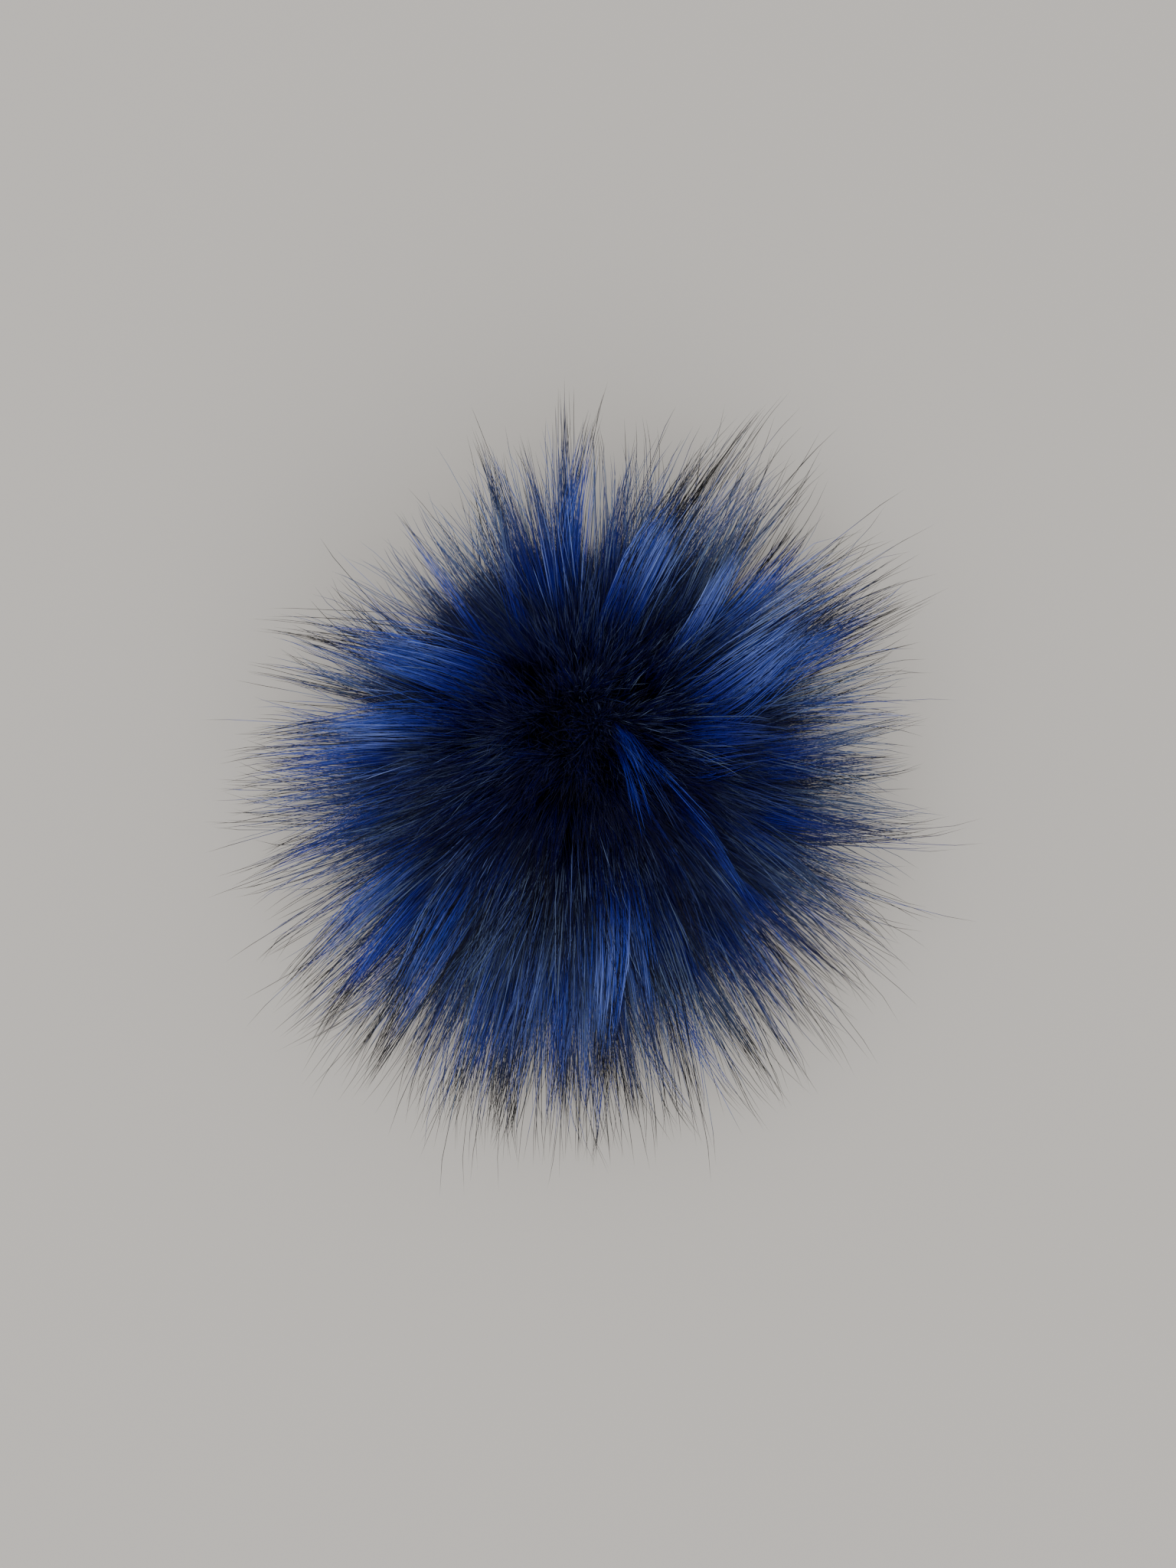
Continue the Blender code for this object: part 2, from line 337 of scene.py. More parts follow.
@dataclass(frozen=True)
class CellGrid:
    """The cells of the backing, which wrap the ball like the six sides of a rounded cube."""

    cells: int = 7
    bare_cells: int = 5
    underside: int = 4
    turn: float = math.radians(17)
    corner_wander: float = 0.045
    corner_frequency: float = 14.0
    bare_edge: float = PileLay.bare_edge

    def directions(self, side: Array, column: Array, row: Array, across: Array, along: Array) -> Array:
        """Directions from the ball's centre to places in cells.

        Args:
            side: The side of the rounded cube that each cell is on.
            column: Its column on that side.
            row: Its row.
            across: How far across the cell the place is, from 0 to 1.
            along: How far along it.

        Returns:
            The directions, one to a row.
        """
        which = np.arange(len(side))
        axis = side // 2
        place = np.empty((len(side), 3))
        place[which, axis] = np.where(side % 2 == 1, 1.0, -1.0)
        place[which, np.where(axis == 0, 1, 0)] = 2.0 * (column + across) / self.cells - 1.0
        place[which, np.where(axis == 2, 1, 2)] = 2.0 * (row + along) / self.cells - 1.0
        direction = unit(np.tan(place * math.pi / 4))

        below = math.pi - from_top(direction)
        azimuth = around(direction)
        square = np.maximum(np.abs(np.cos(azimuth)), np.abs(np.sin(azimuth)))
        edge = np.arctan(math.tan(self.bare_edge) / square)
        above_edge = np.maximum(0.0, (below - edge) / (math.pi / 2 - edge))
        rounded = below * (above_edge + (1.0 - above_edge) * self.bare_edge / edge)
        rounded = np.where(below < math.pi / 2, rounded, below)
        turned = place_at(azimuth + self.turn, np.sin(rounded), -np.cos(rounded))
        wander = PileLay.wander(turned, self.corner_frequency)
        return unit(turned + self.corner_wander * (1.0 + turned[:, 2:3]) * wander)

    def with_pile(self) -> Array:
        """The cells that carry pile.

        Returns:
            Four rows, with the number, side, column and row of each cell.
        """
        number = np.arange(6 * self.cells ** 2)
        side, place = np.divmod(number, self.cells ** 2)
        column, row = np.divmod(place, self.cells)
        half = self.cells // 2
        off_middle = np.maximum(np.abs(column - half), np.abs(row - half))
        kept = (side != self.underside) | (off_middle > self.bare_cells // 2)
        return np.stack([number, side, column, row])[:, kept]


class Tone(Enum):
    """What the middle of a hair is dyed."""

    INK = 0
    NAVY = 1
    SLATE = 2
    ROYAL = 3
    BRIGHT = 4


INK, NAVY, SLATE, ROYAL, BRIGHT = Tone


@dataclass
class Locks:
    """The locks that the pile gathers into, one to a cell, as long and as stray as those of the solid."""

    lay: PileLay = PileLay()
    grid: CellGrid = CellGrid()
    sway: float = 0.018
    lift: float = 0.007
    shape_seed: int = 11
    # Degrees from the top, and the shortest and the longest lock there as shares of full-length pile.
    length_bands: tuple[Triple, ...] = (
        (0, 0.48, 0.62), (30, 0.62, 0.84), (60, 0.58, 0.82), (90, 0.50, 0.76), (148, 0.60, 0.90),
    )
    # Where the locks that stand out are rooted, in degrees from the top.
    long_band: Pair = (30, 105)
    # Their tips: degrees from +X towards +Y, and millimetres from the middle and up from the floor.
    long_locks: tuple[Triple, ...] = (
        (8, 71, 25), (25, 81, 30), (36, 73, 38), (51, 79, 24), (58, 70, 42), (63, 80, 38),
        (73, 71, 28), (86, 73, 35), (93, 75, 26), (104, 70, 34), (126, 62, 40), (143, 60, 30),
        (157, 72, 38), (165, 76, 22), (177, 72, 30), (186, 79, 20), (198, 70, 26), (220, 77, 26),
        (228, 81, 22), (237, 76, 32), (252, 81, 16), (257, 79, 20), (264, 69, 30), (271, 77, 40),
        (283, 66, 36), (301, 80, 20), (311, 71, 22), (322, 74, 22), (335, 62, 34), (351, 68, 22),
    )
    cells: Array = field(init=False)  # the number, side, column and row of each lock's cell
    axis: Array = field(init=False)
    length: Array = field(init=False)
    stray: Array = field(init=False)
    drawn_out: Array = field(init=False)

    def __post_init__(self) -> None:
        """Lays the locks out, shapes them and draws out the long ones."""
        self.cells = self.grid.with_pile()
        every = np.arange(self.cells.shape[1])
        corners = [self.directions(every, u, v) for u in (0.0, 1.0) for v in (0.0, 1.0)]
        self.axis = unit(sum(corners))
        self.shape()
        self.draw_out_long_locks()

    def directions(self, lock: Array, across: Array | float, along: Array | float) -> Array:
        """Directions to places in the cells of the given locks."""
        return self.grid.directions(*self.cells[1:, lock], across, along)

    def shape(self) -> None:
        """Gives each lock its length and its stray."""
        rng = random.Random(self.shape_seed)
        # The bare cells have their draws too, so that the locks come out as those of the solid.
        rolls = np.array([[rng.random() for _ in range(3)] for _ in range(6 * self.grid.cells ** 2)])
        length_roll, sway_roll, lift_roll = rolls[self.cells[0]].T
        bands = np.array(self.length_bands)
        degrees = np.degrees(from_top(self.axis))
        shortest = np.interp(degrees, bands[:, 0], bands[:, 1])
        longest = np.interp(degrees, bands[:, 0], bands[:, 2])
        self.length = shortest + (longest - shortest) * length_roll
        sideways = np.stack([-self.axis[:, 1], self.axis[:, 0], np.zeros(len(self.axis))], axis=1)
        self.stray = sideways * (self.sway * (2.0 * sway_roll - 1.0))[:, None]
        on_floor = self.cells[1] == self.grid.underside
        self.stray[:, 2] = np.where(on_floor, 0.0, self.lift * (2.0 * lift_roll - 1.0))
        self.drawn_out = np.zeros(len(self.axis), dtype=bool)

    def draw_out_long_locks(self) -> None:
        """Draws the lock that lies nearest to each row of the table out to that row's tip."""
        degrees = np.degrees(from_top(self.axis))
        free = (degrees > self.long_band[0]) & (degrees < self.long_band[1])
        root = np.hypot(*self.lay.ball_points(self.axis)[:, :2].T)
        full = np.hypot(*self.lay.full_tips(self.axis)[:, :2].T)
        for azimuth, reach, tip_z in self.long_locks:
            target = place_at(math.radians(azimuth), reach * MM, tip_z * MM)
            share = (reach * MM - root) / (full - root)
            short_of = target - self.lay.places(self.axis, share)
            distance = np.where(free, np.linalg.norm(short_of, axis=1), np.inf)
            nearest = int(np.argmin(distance))
            free[nearest] = False
            self.drawn_out[nearest] = True
            self.length[nearest] = share[nearest]
            self.stray[nearest] = short_of[nearest] / share[nearest] ** 2


# ---- Hairs as meshes ----


@dataclass
class Hairs:
    """Many hairs of one kind: the places along each one, its thickness there, its shade and its length."""

    shares: Row
    centres: Array
    radii: Array
    shade_row: Array
    reach: Array  # how far along full-length pile each hair ends

    @staticmethod
    def spindle(rings: int) -> tuple[Array, Array]:
        """One closed three-sided hair, drawn out from the base of a cone, with a ring at each whole height.

        Args:
            rings: How many rings it has between its two points.

        Returns:
            Its vertices, with the number of their ring as their height, and its triangles.
        """
        bm = bmesh.new()
        bmesh.ops.create_cone(bm, cap_ends=True, segments=3, radius1=1.0, radius2=0.0, depth=1.0)
        bmesh.ops.remove_doubles(bm, verts=bm.verts[:], dist=MM)
        bmesh.ops.translate(bm, vec=(0.0, 0.0, rings + 0.5), verts=bm.verts[:])
        base = min(bm.faces, key=lambda face: face.calc_center_median().z)
        for height in range(rings - 1, 0, -1):
            base = bmesh.ops.extrude_discrete_faces(bm, faces=[base])["faces"][0]
            for vert in base.verts:
                vert.co.z = height
        root = bmesh.ops.poke(bm, faces=[base])["verts"][0]
        root.co = (0.0, 0.0, 0.0)
        bmesh.ops.triangulate(bm, faces=bm.faces[:])
        bmesh.ops.recalc_face_normals(bm, faces=bm.faces[:])
        bm.verts.index_update()
        verts = np.array([vert.co[:] for vert in bm.verts])
        faces = np.array([[vert.index for vert in face.verts] for face in bm.faces])
        bm.free()
        return verts, faces

    def mesh(self, name: str, rows: int, rng: np.random.Generator) -> bpy.types.Mesh:
        """Joins the hairs into one mesh.

        Args:
            name: The mesh's name.
            rows: How many rows of shades the finish has.
            rng: Turns each hair about its own length.

        Returns:
            The mesh, with how far along full-length pile each corner is as U, where 1 is FURTHEST, and its
            row of shades as V.
        """
        template, faces = self.spindle(len(self.shares) - 2)
        ring = np.rint(template[:, 2]).astype(int)
        onward = unit(np.gradient(self.centres, axis=1))
        beside = unit(rng.normal(size=(len(self.centres), 1, 3)))
        side = unit(beside - onward * np.sum(beside * onward, axis=2, keepdims=True))
        other = np.cross(onward, side)
        radius = self.radii[:, ring, None]
        verts = self.centres[:, ring] + radius * (
            template[:, 0, None] * side[:, ring] + template[:, 1, None] * other[:, ring])
        count = len(self.centres)
        corners = (faces[None] + len(template) * np.arange(count)[:, None, None]).reshape(-1)
        triangles = len(corners) // 3

        mesh = bpy.data.meshes.new(name)
        mesh.vertices.add(count * len(template))
        mesh.vertices.foreach_set("co", verts.reshape(-1).astype(np.float32))
        mesh.loops.add(len(corners))
        mesh.loops.foreach_set("vertex_index", corners.astype(np.int32))
        mesh.polygons.add(triangles)
        mesh.polygons.foreach_set("loop_start", np.arange(0, 3 * triangles, 3, dtype=np.int32))
        mesh.polygons.foreach_set("use_smooth", np.ones(triangles, dtype=bool))
        mesh.update(calc_edges=True)

        along = np.minimum(np.array(self.shares)[ring] * self.reach[:, None] / FURTHEST, 1.0)
        shade = (self.shade_row[:, None] + 0.5 + ROW_SHARE * template[:, 0]) / rows
        place = np.stack([along, shade], axis=2).reshape(-1, 2)[corners]
        for layer in (HAIR_MAP, BAKE_MAP):
            mesh.uv_layers.new(name=layer).uv.foreach_set("vector", place.reshape(-1).astype(np.float32))
        return mesh


@dataclass(frozen=True)
class PileFinish:
    """Modacrylic pile, dyed in the hair and printed black from above, so only the longest hairs are tipped.

    The fibre is smooth and slightly flattened, so it shines along its length, and the dye takes unevenly
    from hair to hair; the lighter shades also stand for the glints of single lit hairs, as painted highlight.
    Each tone has shades from deep to light, and each shade is one row of the hairs' map. The near-black
    root and the deep ultramarine low on each hair are painted shade from deep in the pile.
    Lengths are shares of full-length pile.
    """

    name: str = "dyed_modacrylic_pile"
    shades: int = 16
    # The deepest and the lightest shade of each tone, in the order of the tones.
    dyes: tuple[tuple[str, str], ...] = (
        # Ink is kept near black, partly as painted shade for the parting at the crown.
        ("#010105", "#08081c"),
        ("#0b0f40", "#3e4c82"),
        ("#1a2440", "#687a9e"),
        ("#10197a", "#667abe"),
        ("#22389e", "#8c9ed8"),
    )
    # The root and the deep colour are painted shade: the shade deep in the pile and low in each lock.
    root: str = "#010107"
    deep: str = "#07064a"
    tip: str = "#06060a"
    root_ends: Pair = (0.03, 0.12)  # how far the dark root goes up, least and most
    root_fade: float = 0.18
    deep_fade: float = 0.22
    tip_starts: Pair = (0.56, 0.84)  # where the black tip starts, least and most
    tip_fade: float = 0.12
    roughness: float = 0.36
    specular: float = 0.14

    @property
    def rows(self) -> int:
        """How many rows of shades there are."""
        return self.shades * len(Tone)

    def shade_rows(self, tones: Array, levels: Array) -> Array:
        """A row of shades for each hair, from its tone and how light it is from 0 to 1."""
        return tones * self.shades + np.clip(np.floor(levels * self.shades), 0, self.shades - 1)

    def ramp(self, tree: Tree, shade: Socket, end: int) -> Socket:
        """The deepest or the lightest dye of the tone that a shade belongs to.

        Args:
            tree: The material's node tree.
            shade: The shade, from 0 to 1 through all the tones.
            end: 0 for the deepest, 1 for the lightest.

        Returns:
            The colour.
        """
        node = add_node(tree, "ShaderNodeValToRGB", inputs={"Fac": shade})
        node.color_ramp.interpolation = "CONSTANT"
        stops = node.color_ramp.elements
        for number, dye in enumerate(self.dyes):
            place = number / len(self.dyes)
            stop = stops[number] if number < 2 else stops.new(place)
            stop.position = place
            stop.color = linear(dye[end])
        return node.outputs["Color"]

    def material(self) -> bpy.types.Material:
        """The finish as a material that reads the hairs' map.

        Returns:
            The material.
        """
        material, tree, shader = new_material(self.name)

        def calculate(operation: str, *values: Socket | float) -> Socket:
            """The result of a sum on sockets and numbers."""
            node = add_node(tree, "ShaderNodeMath", {"operation": operation}, dict(enumerate(values)))
            return node.outputs[0]

        def between(chance: Socket, low: float, high: float) -> Socket:
            """A value from low to high for a chance from 0 to 1."""
            return calculate("MULTIPLY_ADD", chance, high - low, low)

        def rise(start: Socket, fade: float) -> Socket:
            """0 before start along the hair, and 1 after the fade."""
            return add_node(tree, "ShaderNodeMapRange", {"interpolation_type": "SMOOTHSTEP"}, {
                "Value": along, "From Min": start, "From Max": calculate("ADD", start, fade),
            }).outputs["Result"]

        def blend(factor: Socket, below: Socket | tuple, above: Socket | tuple) -> Socket:
            """One colour that goes over into another."""
            node = add_node(tree, "ShaderNodeMix", {"data_type": "RGBA"}, {0: factor, 6: below, 7: above})
            return node.outputs[2]

        place = add_node(tree, "ShaderNodeUVMap", {"uv_map": HAIR_MAP})
        split = add_node(tree, "ShaderNodeSeparateXYZ", inputs={0: place.outputs["UV"]})
        along, shade = calculate("MULTIPLY", split.outputs["X"], FURTHEST), split.outputs["Y"]
        level = calculate("FRACT", calculate("MULTIPLY", shade, float(len(Tone))))
        row = calculate("FLOOR", calculate("MULTIPLY", shade, float(self.rows)))
        chance = add_node(tree, "ShaderNodeTexWhiteNoise", {"noise_dimensions": "1D"}, {"W": row})
        chances = add_node(tree, "ShaderNodeSeparateColor", inputs={0: chance.outputs["Color"]})
        root_end = between(chances.outputs[0], *self.root_ends)
        tip_start = between(chances.outputs[1], *self.tip_starts)

        # The tone's shades spread over the hairs: dye that takes unevenly, and painted highlight for the
        # glints of single lit hairs.
        dye_and_glints = blend(level, self.ramp(tree, shade, 0), self.ramp(tree, shade, 1))
        # The dark root going over into the deep colour is painted shade from deep in the pile.
        lower = blend(rise(root_end, self.root_fade), linear(self.root), linear(self.deep))
        middle = blend(rise(calculate("ADD", root_end, self.root_fade), self.deep_fade), lower, dye_and_glints)
        tipped = blend(rise(tip_start, self.tip_fade), middle, linear(self.tip))
        tree.links.new(tipped, shader.inputs["Base Color"])
        shader.inputs["Roughness"].default_value = self.roughness
        shader.inputs["Specular IOR Level"].default_value = self.specular
        return material


# ---- The coats of hair ----


# Degrees from +X towards +Y, and the columns of Side for the side that lies there.
SIDES = (
    (0, 0.44, -0.02, 0.8),
    (40, 0.86, 0.00, 0.1),
    (85, 0.62, 0.26, 0.6),
    (112, 0.47, 0.24, 0.9),
    (140, 0.42, 0.14, 0.6),
    (175, 0.70, -0.05, 0.1),
    (215, 0.90, -0.12, 0.3),
    (235, 1.04, -0.18, 0.3),
    (255, 1.14, -0.06, 0.1),
    (275, 1.03, 0.00, 0.0),
    (300, 0.84, -0.26, 0.6),
    (335, 0.84, -0.24, 0.6),
)


class Side(Enum):
    """What differs between the sides of the pom pom, by its column in the table of the sides."""

    LENGTH = 1  # how long the pile is, as a factor
    LIGHT = 2  # how much lighter that side's hairs are drawn
    SLATE = 3  # the share of the blue tufts that came out slate

    def at(self, azimuth: Array | float) -> Array:
        """What the table says for each azimuth, in proportion between its rows."""
        table = np.array(SIDES).T
        return np.interp(azimuth, table[0], table[self.value], period=360)


@dataclass(kw_only=True)
class HairPiece(ABC):
    """A piece that is made of hairs."""

    name: str
    seed: int
    slot: str = "royal_blue_pile"
    shares: Row  # how far along a hair its rings are
    thickness: Row  # at each ring, beside the hair's radius
    # Real hairs are 0.06 to 0.10 mm thick. These are coarser, so that as few of them cover as much.
    radius: Pair = (0.055 * MM, 0.080 * MM)
    shortest: float
    longest: float
    few_long: float  # 1 where every length is as common, and higher where the long ones are rarer
    frizz: float
    most_frizz: float
    frizz_rise: float = 1.7  # how late along a hair its frizz shows
    light: float  # the shade of most hairs, from the deepest of their tone at 0 to the lightest at 1

    @abstractmethod
    def grow(self, finish: PileFinish) -> Hairs:
        """Grows the hairs.

        Args:
            finish: The finish, whose shades are spread over the hairs.

        Returns:
            The hairs.
        """

    def build(self, finish: PileFinish) -> bpy.types.Object:
        """Grows the hairs and adds them to the scene as one piece."""
        mesh = self.grow(finish).mesh(self.name, finish.rows, np.random.default_rng(self.seed + 1))
        return add_piece(self.name, mesh, finish.material(), self.slot)


@dataclass(kw_only=True)
class Coat(HairPiece):
    """One coat of hairs that grows from the whole ball and gathers into the locks.

    Lengths are shares of the lock that a hair is in, or of full-length pile where of_full is set.
    """

    locks: Locks
    hairs: int
    shares: Row = (0.0, 0.38, 0.90, 1.0)
    thickness: Row = (0.0, 1.0, 0.80, 0.0)
    shortest: float = 0.52
    longest: float = 1.02
    few_long: float = 1.6
    of_full: bool = False
    at_crown: float = 1.0  # how long it is at the top, as a factor
    crown_ends: float = math.radians(50)
    by_side: float = 1.0  # how much of the difference between the sides its length takes
    tufts: int = 4  # in each lock
    tuft_margin: float = 0.1  # how far from the edges of its lock's cell a tuft is rooted, as a share
    shortest_tuft: float = 0.86
    own_tone: float = 0.6  # the share of the tufts that take their lock's own tone
    to_tuft: float = 0.80  # how far a hair draws in to the middle of its tuft
    to_lock: float = 0.80  # how far a tuft draws in to the middle of its lock
    tuft_stray: float = 4.0 * MM
    most_tuft_stray: float = 1.8
    frizz: float = 1.2 * MM
    most_frizz: float = 1.5
    wild: float = 0.0  # the share of stray hairs, which are straight and cross the others
    wild_gather: float = 0.2
    wild_frizz: float = 6.0 * MM
    wild_rise: float = 1.05
    on_floor: float = 1.5 * MM  # how thick the hair lies on the floor
    light: float = 0.58
    uneven: Triple = (0.18, 0.14, 0.16)  # how much locks, tufts and hairs differ in shade; the spread between single hairs is partly painted highlight, the glints of lit hairs
    # Degrees from the top, and the chances there of ink, navy, slate, royal and bright.
    # Near the top the ink is partly dark hair and partly painted shade down in the parting.
    tone_chances: tuple[Row, ...] = (
        (0, 1, 0, 0, 0, 0),
        (18, 0.85, 0.15, 0, 0, 0),
        (34, 0.58, 0.36, 0.06, 0, 0),
        (50, 0.08, 0.34, 0.18, 0.33, 0.07),
        (80, 0.05, 0.3, 0.15, 0.4, 0.1),
        (148, 0.3, 0.4, 0.15, 0.15, 0),
    )

    def lock_tones(self, rng: np.random.Generator) -> Array:
        """A tone for each tuft of each lock: mostly the lock's own, and now and then another.

        Args:
            rng: Decides.

        Returns:
            The numbers of the tones, a row to each lock.
        """
        table = np.array(self.tone_chances)
        degrees = np.degrees(from_top(self.locks.axis))
        chances = np.stack([np.interp(degrees, table[:, 0], column) for column in table[:, 1:].T], axis=1)
        edges = np.cumsum(chances / chances.sum(axis=1, keepdims=True), axis=1)
        own = rng.random((len(degrees), 1))
        other = rng.random((len(degrees), self.tufts))
        roll = np.where(rng.random((len(degrees), self.tufts)) < self.own_tone, own, other)
        tones = np.minimum((roll[:, :, None] > edges[:, None, :]).sum(axis=2), len(Tone) - 1)
        azimuth = np.degrees(around(self.locks.axis))
        greyed = rng.random((len(degrees), 1)) < Side.SLATE.at(azimuth)[:, None]
        return np.where(greyed & (tones > SLATE.value), SLATE.value, tones)

    def grow(self, finish: PileFinish) -> Hairs:
        """Grows the hairs, each in its lock's cell, and gathers them into tufts and locks.

        Args:
            finish: The finish, whose shades are spread over the hairs.

        Returns:
            The hairs.
        """
        rng = np.random.default_rng(self.seed)
        locks = self.locks
        count = len(locks.axis)
        lock = np.arange(self.hairs) % count
        across, along = rng.random((2, self.hairs))
        root = locks.directions(lock, across, along)

        tuft_place = rng.random((count, self.tufts, 2)) * (1.0 - 2.0 * self.tuft_margin) + self.tuft_margin
        tuft_stray = strays(rng, (count, self.tufts, 3), self.most_tuft_stray) * self.tuft_stray
        tuft_length = rng.uniform(self.shortest_tuft, 1.0, (count, self.tufts))
        offset = tuft_place[lock] - np.stack([across, along], axis=1)[:, None, :]
        tuft = np.argmin((offset ** 2).sum(axis=2), axis=1)
        tuft_axis = locks.directions(lock, *tuft_place[lock, tuft].T)
        tones = self.lock_tones(rng)[lock, tuft]

        azimuth = np.degrees(around(root))
        wild = rng.random(self.hairs) < self.wild
        spare = (self.longest - self.shortest) * rng.random(self.hairs) ** self.few_long
        on_side = 1.0 + self.by_side * (Side.LENGTH.at(azimuth) - 1.0)
        as_drawn = locks.drawn_out[lock] & (not self.of_full)
        length = (self.shortest + spare) * np.where(as_drawn, 1.0, on_side)
        length *= np.interp(from_top(root), (0.0, self.crown_ends), (self.at_crown, 1.0))
        if not self.of_full:
            length *= locks.length[lock] * tuft_length[lock, tuft]
        length = np.minimum(length, LONGEST)
        for_lock, for_tuft, for_hair = self.uneven
        level = (self.light + Side.LIGHT.at(azimuth) + for_lock * rng.normal(size=count)[lock]
                 + for_tuft * rng.normal(size=(count, self.tufts))[lock, tuft]
                 + for_hair * rng.normal(size=self.hairs))
        bend = strays(rng, (self.hairs, 3), self.most_frizz)
        bend *= np.where(wild, self.wild_frizz, self.frizz)[:, None]
        bend[:, 2] *= FRIZZ_HEIGHT
        stray = locks.stray[lock] + tuft_stray[lock, tuft]
        gather = np.where(wild, self.wild_gather, 1.0)[:, None]
        rise = np.where(wild, self.wild_rise, self.frizz_rise)[:, None]

        radius = rng.uniform(*self.radius, self.hairs)
        rest_height = rng.random(self.hairs) * self.on_floor
        centres = np.empty((self.hairs, len(self.shares), 3))
        for station, share in enumerate(self.shares):
            direction = unit(
                root
                + (tuft_axis - root) * gather * self.to_tuft * share
                + (locks.axis[lock] - tuft_axis) * gather * self.to_lock * share ** 2)
            gone = share * length
            centre = locks.lay.places(direction, gone)
            centre += stray * gone[:, None] ** 2 + bend * share ** rise
            centre[:, 2] = np.maximum(centre[:, 2], radius + rest_height * share)
            centres[:, station] = centre
        radii = radius[:, None] * np.array(self.thickness)
        return Hairs(self.shares, centres, radii, finish.shade_rows(tones, level), length)


@dataclass(frozen=True)
class Tuft:
    """One tuft that lies on top of the pile: where its tip is, where it is rooted, and its form and tone."""

    azimuth: float  # of the tip, in degrees from +X towards +Y
    reach: float  # of the tip, in metres from the middle
    tip_z: float
    root_azimuth: float
    root_angle: float  # in degrees from the top
    bow: float  # how far its middle bows to its left
    width: float
    tone: Tone


# The columns of Tuft, but with its lengths in millimetres.
SHOW_TUFTS = (
    (157, 71, 30, 128, 38, 5, 7, BRIGHT), (155, 60, 36, 144, 36, 2, 5.5, ROYAL),
    (176, 69, 26, 156, 40, 3, 6, BRIGHT), (182, 72, 22, 172, 52, 1, 5, ROYAL),
    (199, 74, 22, 187, 50, 1, 5, ROYAL), (203, 61, 26, 200, 46, 0, 6, SLATE),
    (217, 80, 22, 203, 48, 2, 4.5, BRIGHT), (227, 85, 20, 214, 50, 1, 5, ROYAL),
    (236, 79, 24, 217, 38, 2, 6.5, BRIGHT), (246, 58, 36, 224, 26, 2, 8, SLATE),
    (250, 81, 18, 244, 58, 1, 5.5, ROYAL), (261, 68, 26, 253, 52, 0, 3, BRIGHT),
    (267, 74, 24, 262, 46, 0, 4, ROYAL), (275, 74, 28, 274, 36, 0, 4.5, BRIGHT),
    (270, 78, 30, 286, 27, 2, 5, BRIGHT), (283, 64, 32, 295, 28, 1, 4.5, BRIGHT),
    (293, 60, 28, 296, 44, 0, 5, NAVY), (301, 83, 18, 296, 60, 1, 3.4, SLATE),
    (241, 81, 14, 238, 66, 0, 6, NAVY), (256, 82, 13, 252, 70, 0, 5, NAVY),
    (266, 80, 14, 263, 68, 0, 5, NAVY), (279, 78, 14, 277, 66, 0, 4, NAVY),
    (31, 76, 20, 33, 62, 0, 5, NAVY), (309, 75, 20, 305, 60, 1, 4, NAVY),
    (320, 73, 22, 322, 48, -1, 3.5, NAVY), (315, 52, 40, 342, 26, 3, 3.5, ROYAL),
    (328, 68, 24, 340, 42, 3, 4, SLATE), (348, 67, 24, 346, 52, 0, 5, NAVY),
    (2, 68, 25, 358, 50, 0, 4, NAVY), (9, 76, 28, 2, 52, 0, 4.5, SLATE),
    (26, 84, 28, 26, 48, 0, 5, ROYAL), (35, 68, 36, 23, 33, -2, 8.5, BRIGHT),
    (47, 74, 30, 43, 46, 0, 6, ROYAL), (57, 68, 38, 46, 38, -1, 4.5, BRIGHT),
    (63, 84, 30, 77, 40, 2, 6, BRIGHT), (70, 70, 28, 72, 52, 0, 4, NAVY),
    (81, 69, 28, 84, 52, 0, 3.5, NAVY), (87, 76, 30, 96, 54, 1, 4, ROYAL),
    (93, 80, 27, 95, 58, 0, 4, NAVY), (101, 75, 33, 99, 50, -1, 4, NAVY),
    (107, 77, 28, 104, 54, 0, 4, NAVY), (106, 68, 32, 117, 46, 0, 2.6, SLATE),
    (126, 64, 38, 131, 42, 0, 2.2, BRIGHT), (338, 13, 70, 59, 17, 1, 1.6, ROYAL),
    (324, 17, 69, 55, 16, 1, 1.2, ROYAL), (305, 21, 67, 46, 14, 0, 1.6, ROYAL),
    (318, 28, 64, 50, 14, 1, 1.4, NAVY), (326, 36, 56, 30, 14, 1, 0.8, ROYAL),
    (307, 44, 50, 355, 14, -3, 1, NAVY), (7, 44, 50, 16, 30, 0, 8, SLATE),
)


def show_tufts() -> tuple[Tuft, ...]:
    """The tufts of the table, with their lengths in metres."""
    return tuple(Tuft(azimuth, reach * MM, tip_z * MM, root_azimuth, root_angle, bow * MM, width * MM, tone)
                 for azimuth, reach, tip_z, root_azimuth, root_angle, bow, width, tone in SHOW_TUFTS)


